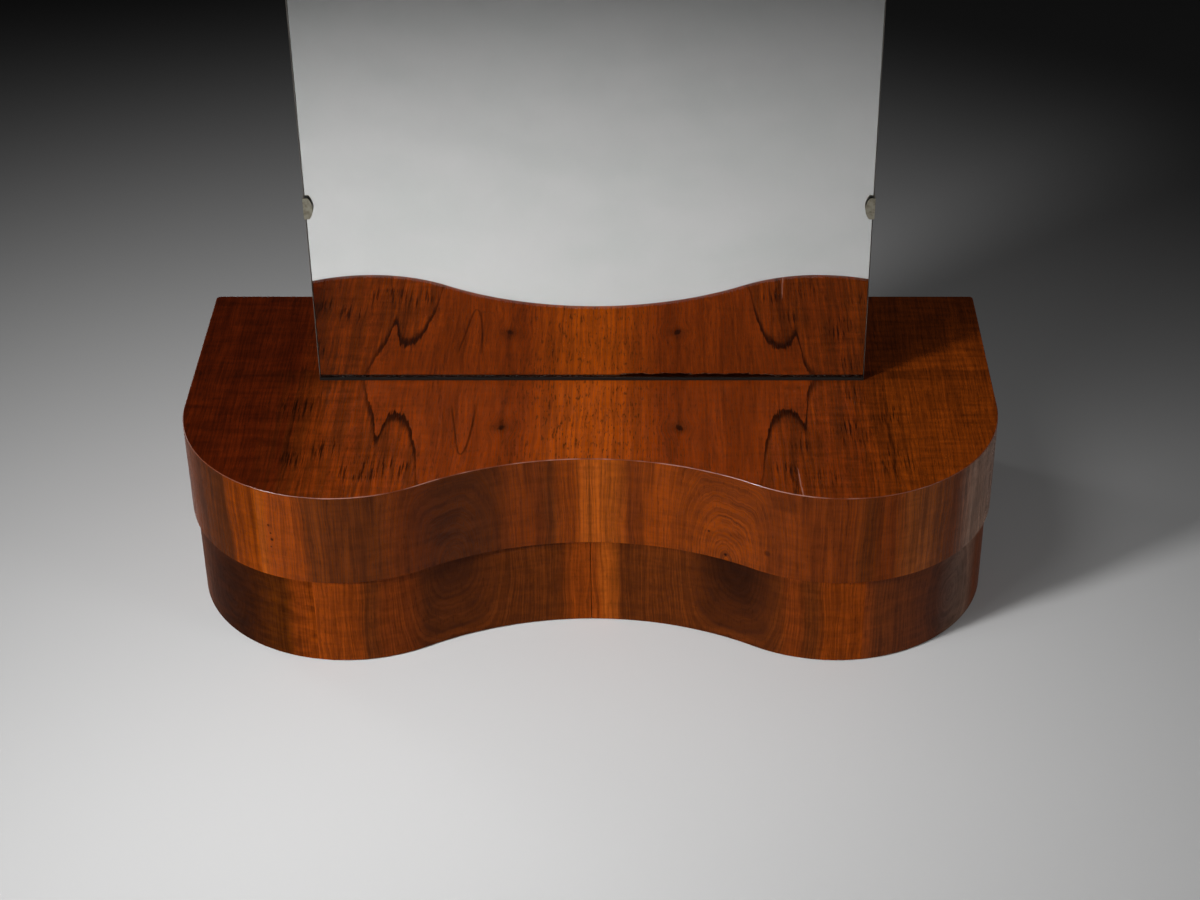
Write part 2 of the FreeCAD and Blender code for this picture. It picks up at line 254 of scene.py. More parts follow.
class FittingSizes(bpy.types.PropertyGroup):
    """Glass, clips and screws."""

    glass_bevel: length_choice("Glass bevel", "Ground edge round the front of the glass", 0.0006)
    silver_gap: length_choice("Silver gap", "Gap between the silver and the backing panel", 0.00015)
    clip_count: count_choice("Clips per side", "Clips on each edge of the glass", 3, 2)
    clip_height: length_choice("Clip height", "Height of one clip", 0.028)
    clip_sheet: length_choice("Clip sheet", "Thickness of the clip's metal", 0.0015)
    lip_middle: length_choice("Lip middle", "Reach of the lip over the glass at its middle", 0.0115)
    lip_end: length_choice("Lip end", "Reach of the lip at its top and bottom", 0.0065)
    clip_round: length_choice("Clip edge", "Rounding of the clip's edges", 0.0004)
    screw_head: length_choice("Screw head", "Radius of a screw's head", 0.0032)
    screw_slot: length_choice("Screw slot", "Width of the driver's slot", 0.0008)


class WoodColours(bpy.types.PropertyGroup):
    """Colours found in the walnut and of the wear on it, and colours that paint shade, a highlight and a
    reflection.
    """

    honey: colour_choice("Honey", "Quartered wood at the middle of the top", "#9a4308")
    amber: colour_choice("Amber", "Warm wood beside the middle line", "#863f0c")
    sap: colour_choice("Sap", "Paler strip on the left swell", "#813b05")
    russet: colour_choice("Russet", "Reddish bands", "#702f05")
    chestnut: colour_choice("Chestnut", "The common brown of the leaves", "#612806")
    umber: colour_choice("Umber", "Greyer brown round the figure", "#512306")
    auburn: colour_choice("Auburn", "Red brown of the top beside the middle", "#742d06")
    rosewood: colour_choice("Rosewood", "Redder wood near the left end of the fronts", "#662a02")
    bronze: colour_choice("Bronze", "Dark brown towards the left end of the fronts", "#3f1a02")
    oxblood: colour_choice("Oxblood", "Darkest brown of the lower left end", "#301202")
    mahogany: colour_choice("Mahogany", "Deep red ends of the top", "#431302")
    plum: colour_choice("Plum", "Purple brown at the upper left eye", "#3f2012")
    tawny: colour_choice("Tawny", "Paler brown towards the right end of the fronts", "#733a14")
    # Painted reflection, not a colour of the wood: a greyish brown for the pale floor reflected at the
    # right ends of the fronts.
    painted_sheen: colour_choice("Bleached", "Right end, where light has turned the polish grey", "#6a5042")
    streak: colour_choice("Streak", "Dark growth lines", "#2a1106")
    pore: colour_choice("Pore", "Filled pores and flecks", "#180601")
    # Painted shade along the foot of the glass, where it stands in its seat.
    foot_shade: colour_choice("Grime", "Black dirt along the foot of the glass", "#0c0806")
    # Pale arris colour: partly polish rubbed through, partly a painted highlight on the rounded edge. The
    # pale crack on the top is drawn in it too.
    worn: colour_choice("Worn edge", "Arris where the polish is rubbed through", "#8f6152")


class StageSettings(bpy.types.PropertyGroup):
    """Camera, lamps and floor."""

    lens: FloatProperty(name="Lens", description="Focal length", default=71.03, unit="CAMERA")
    frame_shift: FloatProperty(name="Shift", description="Sideways shift of the frame", default=-0.04)
    eye: FloatVectorProperty(
        name="Eye",
        description="Place of the camera",
        default=(0.0704, -2.4804, 1.8296),
        size=3,
        unit="LENGTH",
    )
    pitch: FloatProperty(
        name="Pitch",
        description="How far the camera looks down",
        default=math.radians(33.985),
        unit="ROTATION",
    )
    key_power: power_choice("Key lamp", "Power of the lamp at the left front", 16.0)
    overhead_power: power_choice("Overhead lamp", "Power of the lamp overhead", 5.0)
    card_power: power_choice("Card", "Power of the low card at the right front", 5.0)
    back_power: power_choice("Back lamp", "Power of the low lamp behind", 0.8)
    side_power: power_choice("Side lamp", "Power of the low lamp at the left back", 4.0)
    fill: power_choice("Fill", "Strength of the light all round the front", 0.09)
    back_fill: power_choice("Back fill", "Strength of the light all round the back", 0.04)
    floor: colour_choice("Floor", "Paper under the mirror", "#cccccc")
    far_floor: colour_choice("Far floor", "Paper where it leaves the light", "#202020")


GROUPS = {
    "mirror_base": BaseSizes,
    "mirror_fittings": FittingSizes,
    "mirror_woods": WoodColours,
    "mirror_stage": StageSettings,
}


class Plan:
    """Right half of the wavy outline: a dip, a swell tangent to it, a straight side and a back."""

    def __init__(self, sizes, inset=0.0):
        self.inset = inset
        self.sizes = sizes
        self.swell = Vector((sizes.half_width - sizes.swell_radius, sizes.front + sizes.swell_radius, 0))
        dip_y = sizes.front + sizes.dip_depth
        rise = self.swell.y - dip_y
        self.dip_radius = (self.swell.x**2 + rise**2 - sizes.swell_radius**2) / (
            2 * (sizes.swell_radius - rise)
        )
        self.dip = Vector((0, dip_y - self.dip_radius, 0))
        to_swell = self.swell - self.dip
        self.dip_turn = math.atan2(to_swell.x, to_swell.y)
        self.swell_turn = math.pi / 2 + self.dip_turn
        self.start = Vector((0, dip_y + inset, 0))
        self.corner = max(sizes.corner_radius - inset, 0.0)
        self.dip_run = self.dip_radius * self.dip_turn
        self.swell_run = sizes.swell_radius * self.swell_turn

    def along(self, x, y):
        """Length of the outline from the middle line to a point on it, the same on both hands."""
        x = abs(x)
        if y > self.swell.y:
            return self.dip_run + self.swell_run + y - self.swell.y
        from_swell = math.atan2(y - self.swell.y, x - self.swell.x)
        if from_swell > -self.swell_turn and x > 0.5 * self.swell.x:
            return self.dip_run + self.sizes.swell_radius * (from_swell + self.swell_turn)
        return self.dip_radius * math.atan2(x, y - self.dip.y)

    def draw(self, mesh, geom, to_middle):
        """Sweeps a vertex or an upright edge along the outline, on to the middle of the back if asked."""
        sizes = self.sizes
        geom = sweep(mesh, geom, sizes.dip_steps, self.dip, -self.dip_turn)
        geom = sweep(mesh, geom, sizes.swell_steps, self.swell, self.swell_turn)
        straight = sizes.back - self.inset - self.corner - self.swell.y
        geom = sweep(mesh, geom, SIDE_STEPS, way=(0, straight, 0))
        side = sizes.half_width - self.inset
        if self.corner > 0:
            centre = Vector((side - self.corner, sizes.back - self.inset - self.corner, 0))
            geom = sweep(mesh, geom, CORNER_STEPS, centre, math.pi / 2)
        if to_middle:
            sweep(mesh, geom, 1, way=(self.corner - side, 0, 0))


def sweep(mesh, geom, steps, centre=(0, 0, 0), turn=0.0, way=(0, 0, 0), axis=(0, 0, 1)):
    """Draws the last vertex or edge on, round a line or straight, and returns its far end."""
    return bmesh.ops.spin(
        mesh,
        geom=geom,
        cent=centre,
        axis=axis,
        dvec=Vector(way) / steps,
        angle=turn,
        steps=steps,
        use_duplicate=False,
    )["geom_last"]


def cut(mesh, point, way, drop=False, geom=None):
    """Cuts every face, or only some, at a plane, and drops what lies beyond it if asked."""
    bmesh.ops.bisect_plane(
        mesh,
        geom=geom or mesh.verts[:] + mesh.edges[:] + mesh.faces[:],
        dist=CUT_REACH,
        plane_co=point,
        plane_no=way,
        clear_outer=drop,
    )


def round_edges(mesh, edges, radius, segments):
    """Rounds edges and returns the new faces."""
    return bmesh.ops.bevel(
        mesh,
        geom=edges,
        offset=radius,
        offset_type="OFFSET",
        segments=segments,
        profile=0.5,
        affect="EDGES",
        clamp_overlap=True,
        material=-1,
    )["faces"]


def draw_out(mesh, faces, way, keep=False):
    """Extrudes faces along a vector; they stay as the far side of a board, or go so that none is inside."""
    made = bmesh.ops.extrude_face_region(mesh, geom=faces, use_keep_orig=keep)["geom"]
    moved = [part for part in made if isinstance(part, bmesh.types.BMVert)]
    bmesh.ops.translate(mesh, verts=moved, vec=way)
    if not keep:
        bmesh.ops.delete(mesh, geom=[face for face in faces if face.is_valid], context="FACES")
    bmesh.ops.recalc_face_normals(mesh, faces=mesh.faces[:])


def fill_outline(mesh):
    """Closes an open outline with a last edge and fills it with one face."""
    bmesh.ops.contextual_create(mesh, geom=mesh.edges[:])
    bmesh.ops.edgeloop_fill(mesh, edges=mesh.edges[:])


def join_in(mesh, whole):
    """Adds a finished mesh to the one that holds all of its kind."""
    spare = bpy.data.meshes.new("spare")
    mesh.to_mesh(spare)
    mesh.free()
    whole.from_mesh(spare)
    bpy.data.meshes.remove(spare)


def turn_to(mesh, hand):
    """Mirrors a right-hand piece to the left where that hand is asked."""
    if HANDS[hand] < 0:
        bmesh.ops.scale(mesh, vec=(-1, 1, 1), verts=mesh.verts[:])
    bmesh.ops.recalc_face_normals(mesh, faces=mesh.faces[:])


def map_leaf(mesh, plan):
    """UV map in metres: along the outline and up, so that the figure follows the curved face."""
    layer = mesh.loops.layers.uv.new(LEAF_MAP)
    for face in mesh.faces:
        for loop in face.loops:
            place = loop.vert.co
            loop[layer].uv = (plan.along(place.x, place.y), place.z)


def place_piece(mesh, name, body, nodes, finishes):
    """Makes the finished object at the origin, in its body's care."""
    if not mesh.faces:
        raise RuntimeError(f"{name} came out empty")
    data = bpy.data.meshes.new(name)
    mesh.to_mesh(data)
    mesh.free()
    for finish in finishes:
        data.materials.append(finish)
    data.polygons.foreach_set("use_smooth", [True] * len(data.polygons))
    data.set_sharp_from_angle(angle=SMOOTH_TURN)
    piece = bpy.data.objects.new(name, data)
    bpy.context.scene.collection.objects.link(piece)
    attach(piece, body)
    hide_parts(*nodes)


# What nearly every node of a kind is set to here; a node that differs says so.
USUAL = {"MapRange": {"interpolation_type": "SMOOTHSTEP"}, "Mix": {"data_type": "RGBA"}}
STRAIGHT = {"interpolation_type": "LINEAR"}
PLUS = "Math ADD"
LESS = "Math SUBTRACT"
TIMES = "Math MULTIPLY"
OVER = "Math DIVIDE"
SCALED_PLUS = "Math MULTIPLY_ADD"
SIZE_OF = "Math ABSOLUTE"
ROOT = "Math SQRT"
LARGER = "Math MAXIMUM"
LENGTH = "VectorMath LENGTH"
DISTANCE = "VectorMath DISTANCE"
AWAY = "VectorMath SUBTRACT"
# Parts of a noise's range: nearly all of it, the middle and the steep middle.
WIDE = (0.3, 0.7)
MIDDLE = (0.35, 0.65)
STEEP = (0.38, 0.62)
POLISHED = {"IOR": 1.5, "Specular_IOR_Level": 0.04, "Coat_Weight": 0.03, "Coat_Roughness": 0.08}


def add_node(tree, kind, *values, output=None, **settings):
    """Adds one node with its settings, fills or links its open sockets in order, returns an output.

    A kind of two words, such as "Math ADD", names the node's operation too.
    """
    kind, *operation = kind.split()
    node = tree.nodes.new("ShaderNode" + kind)
    if operation:
        node.operation = operation[0]
    for name, value in {**USUAL.get(kind, {}), **settings}.items():
        setattr(node, name, value)
    for socket, value in zip([s for s in node.inputs if s.enabled], values):
        if isinstance(value, bpy.types.NodeSocket):
            tree.links.new(value, socket)
        else:
            socket.default_value = value
    if output is not None:
        return node.outputs[output]
    return next(s for s in node.outputs if s.enabled)


def new_finish(name, **sockets):
    """Material, its shader with plain values on its own sockets, and what adds nodes to it."""
    material = bpy.data.materials.new(name)
    material.use_nodes = True
    shader = material.node_tree.nodes["Principled BSDF"]
    for socket, value in sockets.items():
        shader.inputs[socket.replace("_", " ")].default_value = value
    return material, shader, functools.partial(add_node, material.node_tree)


def feed(shader, **sockets):
    """Links finished values to the shader."""
    for socket, value in sockets.items():
        shader.id_data.links.new(value, shader.inputs[socket.replace("_", " ")])


def solid(colour):
    """Opaque colour for a socket, from a setting or from sRGB hex."""
    return (*(linear(colour) if isinstance(colour, str) else colour), 1.0)


def grain(node, place, size, detail=2.0):
    """Noise whose marks measure size metres along each axis."""
    scale = tuple(1 / length for length in size)
    scaled = node("Mapping", place, (0, 0, 0), (0, 0, 0), scale)
    return node("TexNoise", scaled, 1.0, detail, 0.55)


def shifted(node, value, noise, reach):
    """Value moved by a noise over a stretch of reach millimetres, half of it to either side."""
    return node(PLUS, value, node(SCALED_PLUS, noise, reach * MM, -reach / 2 * MM))


def spot_share(node, place, spot, radius, depth):
    """Share of a soft round spot; its place and radius are in millimetres."""
    off = node(DISTANCE, place, (spot[0] * MM, spot[1] * MM, 0.0))
    return node("MapRange", off, radius * MM, radius * 0.3 * MM, 0.0, depth)


def band_colours(node, woods, run, length, bands):
    """Ramp over a leaf's width, from bands of (start in mm, end in mm, wood) that melt together."""
    ramp = node("ValToRGB", node(OVER, run, length))
    stops = ramp.node.color_ramp.elements
    places = [(edge * MM / length, wood) for *edges, wood in bands for edge in edges]
    while len(stops) < len(places):
        stops.new(1.0)
    for stop, (place, wood) in zip(stops, places):
        stop.position = place
        stop.color = solid(getattr(woods, wood))
    return ramp


def shaded(node, colour, *shares):
    """Colour made lighter or darker by each share in turn."""
    for share in shares:
        grey = node("CombineXYZ", share, share, share)
        colour = node("Mix", 1.0, colour, grey, blend_type="MULTIPLY")
    return colour


def polish(node, shader, colour, lines, pores, dull=0.0):
    """French polish: a thin glossy film that sinks a little into the pores, dulled where it is rubbed."""
    rough = node("MapRange", lines, *WIDE, 0.34 + dull, 0.24 + dull)
    sunk = node(SCALED_PLUS, pores, -1.0, lines)
    feed(
        shader,
        Base_Color=colour,
        Roughness=node(SCALED_PLUS, pores, 0.12, rough),
        Normal=node("Bump", 0.12, 0.05 * MM, 1.0, sunk),
    )


def rings_round(node, run, height, leaf):
    """Distance that grows across upright growth lines and bends them round the leaf's eye."""
    aside = node(LESS, run, leaf["eye"][0] * MM)
    spread = node(OVER, aside, leaf["reach"] * MM)
    falloff = node(SCALED_PLUS, spread, spread, 1.0)
    squeeze = node(OVER, leaf["squeeze"], falloff)
    above = node(LESS, height, leaf["eye"][1] * MM)
    bent = node("CombineXYZ", aside, node(TIMES, above, squeeze))
    return node(LENGTH, bent)


def figured_walnut(name, woods, leaf):
    """French-polished walnut with an eye figure.

    Upright growth lines bend round the eye, close up towards its core and fray the edges of the
    bands. Filled pores are drawn about 1 mm wide, coarser than life, so that they show.
    """
    material, shader, node = new_finish(name, **{**POLISHED, "Specular_IOR_Level": leaf["gloss"]})
    place = node("UVMap", uv_map=LEAF_MAP)
    own = node("Mapping", place, (0, 0, leaf["seed"]))
    across = node("SeparateXYZ", place)
    height = across.node.outputs["Y"]
    wander = grain(node, own, (0.045, 0.130, 1), 2.0)
    run = shifted(node, across, wander, 14)
    heave = grain(node, node("Mapping", own, (0.0, 0.0, 9.0)), (0.028, 0.050, 1), 2.0)
    level = shifted(node, height, heave, 26)
    ring = rings_round(node, run, level, leaf)
    flow = node("CombineXYZ", ring, height, leaf["seed"])
    broad = grain(node, flow, (0.013, 0.40, 1))
    stripes = grain(node, flow, (0.0052, 0.26, 1))
    rings = grain(node, flow, (leaf["ring"] * MM, 0.35, 1))
    lines = grain(node, flow, (0.0022, 0.12, 1), 3.0)
    pores = node("MapRange", grain(node, own, (0.0013, 0.012, 1), 1.0), 0.57, 0.70)
    curl = grain(node, own, (0.040, 0.0042, 1), 1.0)
    mottle = grain(node, own, (0.028, 0.011, 1), 3.0)
    dark = solid(woods.pore)

    frayed = node(SCALED_PLUS, node(PLUS, stripes, lines), 9 * MM, run)
    frayed = node(LESS, frayed, 9 * MM)
    colour = band_colours(node, woods, frayed, leaf["length"] * MM, leaf["bands"])
    edge = leaf["core"] * MM
    core = node("MapRange", ring, edge, edge * 0.2, 0.0, leaf["core_depth"])
    colour = node("Mix", core, colour, solid(getattr(woods, leaf["core_wood"])))
    halo = leaf["halo"] * MM
    near_eye = node("MapRange", ring, halo, halo * 0.5, 0.0, leaf["rings"])
    late_wood = node("MapRange", rings, 0.43, 0.62)
    # The rings come and go, so that they show as open arcs.
    open_arcs = node("MapRange", grain(node, own, (0.034, 0.026, 1)), 0.38, 0.56, 0.15, 1.3)
    ring_share = node(TIMES, node(TIMES, late_wood, near_eye), open_arcs)
    colour = node("Mix", ring_share, colour, solid(woods.streak))
    calm = node("MapRange", ring, halo, halo * 0.5, -0.8, -0.25)
    tone = node(SCALED_PLUS, node(LESS, broad, 0.5), calm, 1.0)
    stripe = node(SCALED_PLUS, node(LESS, stripes, 0.5), calm, 1.0)
    # The fine lines grow faint near the eye, where the figure is soft.
    faint = node("MapRange", ring, halo, halo * 0.4, 0.22, leaf["sharp"])
    darkest = node(LESS, 1.0, faint)
    lightest = node(PLUS, 1.0, faint)
    glow = node("MapRange", lines, *STEEP, darkest, lightest)
    ripple = node("MapRange", curl, *MIDDLE, 0.96, 1.04)
    patchy = node("MapRange", mottle, *MIDDLE, 1 - leaf["mottle"], 1 + leaf["mottle"])
    colour = shaded(node, colour, tone, stripe, glow, ripple, patchy)
    colour = node("Mix", node(TIMES, pores, 0.28), colour, dark)
    for *spot, size, depth in leaf["specks"]:
        colour = node("Mix", spot_share(node, place, spot, size, depth), colour, dark)
    if leaf["joint"]:
        glue = node("MapRange", across, 0.9 * MM, 0.2 * MM, 0.0, leaf["joint"])
        colour = node("Mix", glue, colour, dark)
    polish(node, shader, colour, lines, pores, leaf["dull"])
    return material


def hook_depth(node, across, hand):
    """Where the top's dark growth line lies at each place across: up a leg, over an arch, down and up."""
    along = node("MapRange", across, HOOK_RUN[0] * MM, HOOK_RUN[1] * MM, **STRAIGHT)
    curve = node("FloatCurve", 1.0, along)
    mapping = curve.node.mapping
    line = mapping.curves[0].points
    low, high = HOOK_REACH
    places = [
        ((run - HOOK_RUN[0]) / (HOOK_RUN[1] - HOOK_RUN[0]), (depth - low) / (high - low))
        for run, depth in HOOKS[hand]
    ]
    line[0].location = places[0]
    line[1].location = places[-1]
    for place in places[1:-1]:
        line.new(*place)
    mapping.update()
    return node("MapRange", curve, 0.0, 1.0, low * MM, high * MM, **STRAIGHT)


def fleck_marks(node, own, spot, hand):
    """Share of short black flecks, which crowd in a few places on the leaf."""
    marks = node("MapRange", grain(node, own, (0.0024, 0.050, 1), 3.0), 0.53, 0.61)
    crowd = 0.0
    for *middle, radius in FLECKS[hand]:
        crowd = node(LARGER, spot_share(node, spot, middle, radius, 0.85), crowd)
    return node(TIMES, marks, crowd)


def vein_line(node, across, ragged):
    """Share of a thin dark vein that runs from the mirror's foot to the front of the swell."""
    off = node(SIZE_OF, node(LESS, across, VEIN * MM))
    vein = node("MapRange", off, 3.6 * MM, 0.4 * MM, 0.0, 0.5)
    return node(TIMES, vein, node("MapRange", ragged, 0.44, 0.60))


def loop_line(node, across, depth):
    """Share of a faint narrow loop in the grain, open towards the mirror."""
    aside = node(LESS, across, LOOP[0] * MM)
    bend = node(TIMES, aside, 450.0)
    above = node(LESS, node(SCALED_PLUS, bend, aside, LOOP[1] * MM), depth)
    slope = node(TIMES, bend, 2.0)
    steep = node(ROOT, node(SCALED_PLUS, slope, slope, 1.0))
    off = node(SIZE_OF, node(OVER, above, steep))
    line = node("MapRange", off, 2.2 * MM, 0.4 * MM, 0.0, 0.6)
    return node(TIMES, line, node("MapRange", depth, -10 * MM, -60 * MM))


def crack_parts(node, across, depth, ragged):
    """Shares of a short pale shrinkage crack at the front edge and of the dark wood beside it."""
    line = node(SCALED_PLUS, depth, -0.07, CRACK * MM)
    jagged = node(SCALED_PLUS, ragged, 3 * MM, line)
    off = node(LESS, across, jagged)
    crack = node("MapRange", node(SIZE_OF, off), 1.0 * MM, 0.4 * MM)
    crack = node(TIMES, crack, node("MapRange", depth, -166 * MM, -178 * MM))
    beside = node("MapRange", off, -15 * MM, -9 * MM)
    stained = node("MapRange", off, 0.0, -4 * MM)
    patch = node(TIMES, beside, stained)
    patch = node(TIMES, patch, node("MapRange", depth, -150 * MM, -172 * MM, 0.0, 0.6))
    return crack, node(TIMES, patch, node("MapRange", ragged, 0.4, 0.55))


def top_walnut(name, woods, hand):
    """French-polished walnut laid front to back on the top.

    Two leaves opened like a book: quartered honey wood with dashes of pore at the middle, a knot, a
    dark ragged growth line in the shape of a hook, black flecks in the browner wood beyond it and a
    ripple towards the ends. Pores are drawn about 1 mm wide, coarser than life, so that they show.
    """
    material, shader, node = new_finish(name, **POLISHED)
    place = node("TexCoord", output="Object")
    own = node("Mapping", place, (0, 0, 3.7 * HANDS[hand]))
    sideways = node("SeparateXYZ", place)
    depth = sideways.node.outputs["Y"]
    across = node(SIZE_OF, sideways)
    wander = grain(node, own, (0.060, 0.150, 1), 1.0)
    warped = shifted(node, across, wander, 10)

    beside_knot = node(LESS, across, KNOT[0] * MM)
    before_knot = node(LESS, depth, KNOT[1] * MM)
    from_knot = node(LENGTH, node("CombineXYZ", beside_knot, before_knot))
    swerve = node("MapRange", from_knot, 34 * MM, 3 * MM, 0.0, 0.6)
    parted = node(LESS, warped, node(TIMES, beside_knot, swerve))

    flow = node("CombineXYZ", parted, depth, 5.1)
    broad = grain(node, flow, (0.020, 0.30, 1))
    stripes = grain(node, flow, (0.0060, 0.22, 1))
    lines = grain(node, flow, (0.0023, 0.080, 1), 3.0)
    dashes = grain(node, own, (0.0019, 0.0125, 1), 1.0)
    pores = node("MapRange", dashes, 0.57, 0.68)
    curl = grain(node, own, (0.045, 0.0085, 1), 1.0)
    ragged = grain(node, own, (0.0026, 0.024, 1))
    streak = solid(woods.streak)
    dark = solid(woods.pore)

    bands = (
        (0, 20, "honey"),
        (85, 120, "auburn"),
        (150, 240, "auburn"),
        (300, 320, "auburn"),
        # The right end takes the lighter russet: painted light for the lamp light that the mirror throws on
        # to it. The left end keeps mahogany.
        (370, 500, "mahogany" if hand == "left" else "russet"),
    )
    frayed = shifted(node, warped, stripes, 16)
    colour = band_colours(node, woods, frayed, TOP_HIGH.x, bands)

    toothed = shifted(node, hook_depth(node, across, hand), ragged, 30)
    behind = node(LESS, depth, toothed)
    inner_wood = node("MapRange", behind, 2 * MM, -5 * MM)
    not_ends = node("MapRange", across, 420 * MM, 330 * MM)
    zone = node(TIMES, inner_wood, not_ends)
    smoky = node("MapRange", stripes, 0.40, 0.60, 0.10, 0.55)
    colour = node("Mix", node(TIMES, zone, smoky), colour, solid(woods.umber))
    edge = node("MapRange", behind, 3 * MM, -2 * MM, 0.0, 0.9)
    fading = node("MapRange", behind, -34 * MM, -8 * MM)
    hook = node(TIMES, edge, fading)
    hook = node(TIMES, hook, node("MapRange", across, 300 * MM, 262 * MM, 0.35, 1.0))
    hook = node(TIMES, hook, node("MapRange", depth, -205 * MM, -110 * MM, 0.45, 1.0))
    slanted = node(SCALED_PLUS, before_knot, 0.4, beside_knot)
    smear = node("CombineXYZ", slanted, node(TIMES, before_knot, 0.7))
    blob = node(SCALED_PLUS, ragged, 7 * MM, node(LENGTH, smear))
    knot = node("MapRange", blob, 9.0 * MM, 5.5 * MM, 0.0, 0.9)
    off_thread = node(SCALED_PLUS, ragged, 6 * MM, node(LESS, warped, THREAD * MM))
    thread = node("MapRange", node(SIZE_OF, off_thread), 2.2 * MM, 0.3 * MM, 0.0, 0.3)
    thread = node(TIMES, thread, node("MapRange", from_knot, 30 * MM, 8 * MM))
    flecks = fleck_marks(node, own, node("CombineXYZ", across, depth), hand)
    marks = [hook, flecks, vein_line(node, warped, ragged), knot, thread]
    if hand == "left":
        marks.append(loop_line(node, warped, depth))
    else:
        crack, stain = crack_parts(node, across, depth, ragged)
        marks.append(stain)
    for share in marks:
        colour = node("Mix", share, colour, dark)

    halo = node("MapRange", from_knot, 20 * MM, 4 * MM, 0.0, 0.35)
    colour = node("Mix", halo, colour, streak)
    tone = node("MapRange", broad, *MIDDLE, 1.10, 0.90)
    stripe = node("MapRange", stripes, *MIDDLE, 1.10, 0.90)
    glow = node("MapRange", lines, *STEEP, 0.79, 1.21)
    ripple_depth = node("MapRange", across, 160 * MM, 320 * MM, 0.35, 1.1)
    ripple = node(SCALED_PLUS, node(LESS, curl, 0.5), ripple_depth, 1.0)
    colour = shaded(node, colour, tone, stripe, glow, ripple)
    pore_share = node("MapRange", across, 40 * MM, 120 * MM, 0.62, 0.34)
    colour = node("Mix", node(TIMES, pores, pore_share), colour, dark)
    if hand == "right":
        colour = node("Mix", crack, colour, solid(woods.worn))
    polish(node, shader, colour, lines, pores)
    return material


def arris_wear_and_highlight(name, woods):
    """Edge of the top: a pale, broken line, partly where hands have rubbed the polish through and partly a
    painted highlight on the rounded edge.
    """
    material, shader, node = new_finish(name, IOR=1.5, Coat_Weight=0.3, Coat_Roughness=0.2)
    place = node("TexCoord", output="Object")
    wear = grain(node, place, (0.035, 0.035, 0.035), 3.0)
    sideways = node(SIZE_OF, node("SeparateXYZ", place))
    # Pale only away from the ends: partly wear, partly a painted highlight that shows along the middle of
    # the edge.
    middle_wear_and_highlight = node("MapRange", sideways, 370 * MM, 300 * MM)
    share = node(TIMES, node("MapRange", wear, *STEEP), middle_wear_and_highlight)
    feed(
        shader,
        Base_Color=node("Mix", share, solid(woods.chestnut), solid(woods.worn)),
        Roughness=node("MapRange", wear, *WIDE, 0.3, 0.5),
    )
    return material


def straight_wood(name, pale, dark, axis, ring, gloss):
    """Plain sawn or planed board: straight growth lines along one axis and small pores."""
    material, shader, node = new_finish(name, IOR=1.5)
    place = node("TexCoord", output="Object")
    along = "XYZ".index(axis)
    lines = grain(node, place, [0.35 if i == along else ring for i in range(3)], 4.0)
    flecks = grain(node, place, [0.009 if i == along else 0.0013 for i in range(3)], 1.0)
    share = node("MapRange", lines, *MIDDLE)
    colour = node("Mix", share, solid(pale), solid(dark))
    fleck_share = node("MapRange", flecks, 0.60, 0.75, 0.0, 0.35)
    colour = node("Mix", fleck_share, colour, solid(dark), blend_type="MULTIPLY")
    feed(
        shader,
        Base_Color=colour,
        Roughness=node("MapRange", lines, *WIDE, gloss, gloss + 0.12),
        Normal=node("Bump", 0.2, 0.1 * MM, 1.0, lines),
    )
    return material


def clear_glass(name):
    """Polished plate glass: clear, a little green, faintly smeared by hands and cloths."""
    material, shader, node = new_finish(name, IOR=1.52, Transmission_Weight=1.0)
    place = node("TexCoord", output="Object")
    smear = grain(node, place, (0.09, 0.09, 0.05), 3.0)
    tint = node("MapRange", smear, 0.3, 0.8)
    feed(
        shader,
        Base_Color=node("Mix", tint, solid("#ffffff"), solid("#f9fbfa")),
        Roughness=node("MapRange", smear, 0.45, 0.8, 0.0, 0.05),
    )
    return material


def old_silvering(name):
    """Silver behind the glass: a clear mirror that has gone black in a ragged line at its foot."""
    material, shader, node = new_finish(name, Metallic=1.0)
    sideways = node("SeparateXYZ", node("TexCoord", output="Object"))
    height = sideways.node.outputs["Z"]
    upright = node("CombineXYZ", sideways, height)
    cloud = grain(node, upright, (0.20, 0.12, 1), 3.0)
    loss = grain(node, upright, (0.012, 0.003, 1), 4.0)
    lift = node(LESS, height, GLASS_LOW.z)
    from_middle = node("MapRange", sideways, 5 * MM, 60 * MM)
    to_side = node("MapRange", sideways, 260 * MM, 190 * MM)
    worst = node(TIMES, from_middle, to_side)
    reach = node(SCALED_PLUS, worst, 3.5 * MM, 1.0 * MM)
    edge = node(SCALED_PLUS, node(LESS, loss, 0.5), 9 * MM, lift)
    bare = node("MapRange", node(LESS, edge, reach), 0.8 * MM, -0.8 * MM)
    silver = node("Mix", cloud, solid("#f2f2f1"), solid("#e9e9e8"))
    feed(
        shader,
        Base_Color=node("Mix", bare, silver, solid("#120a06")),
        Roughness=node("MapRange", bare, 0.0, 1.0, 0.0, 0.5, **STRAIGHT),
    )
    return material


def ground_glass(name, woods):
    """Ground edge of the glass: matt from the wheel, painted grey brown for the wood that the edge
    reflects, and painted black along its foot for the shade where the glass stands in its seat.
    """
    material, shader, node = new_finish(name, IOR=1.52)
    place = node("TexCoord", output="Object")
    scour = grain(node, place, (0.002, 0.002, 0.030))
    # Painted reflection: grey browns for the wood that the edge reflects.
    edge = node("Mix", scour, solid("#37322c"), solid("#5e5850"))
    height = node("SeparateXYZ", place).node.outputs["Z"]
    foot = node(LESS, height, GLASS_LOW.z)
    # Painted shade: black over the lowest few millimetres, where the glass stands in its seat.
    foot_shade_share = node("MapRange", foot, 9 * MM, 2 * MM, 0.0, 0.97)
    feed(
        shader,
        Base_Color=node("Mix", foot_shade_share, edge, solid(woods.foot_shade)),
        Roughness=node("MapRange", scour, *WIDE, 0.40, 0.60),
    )
    return material


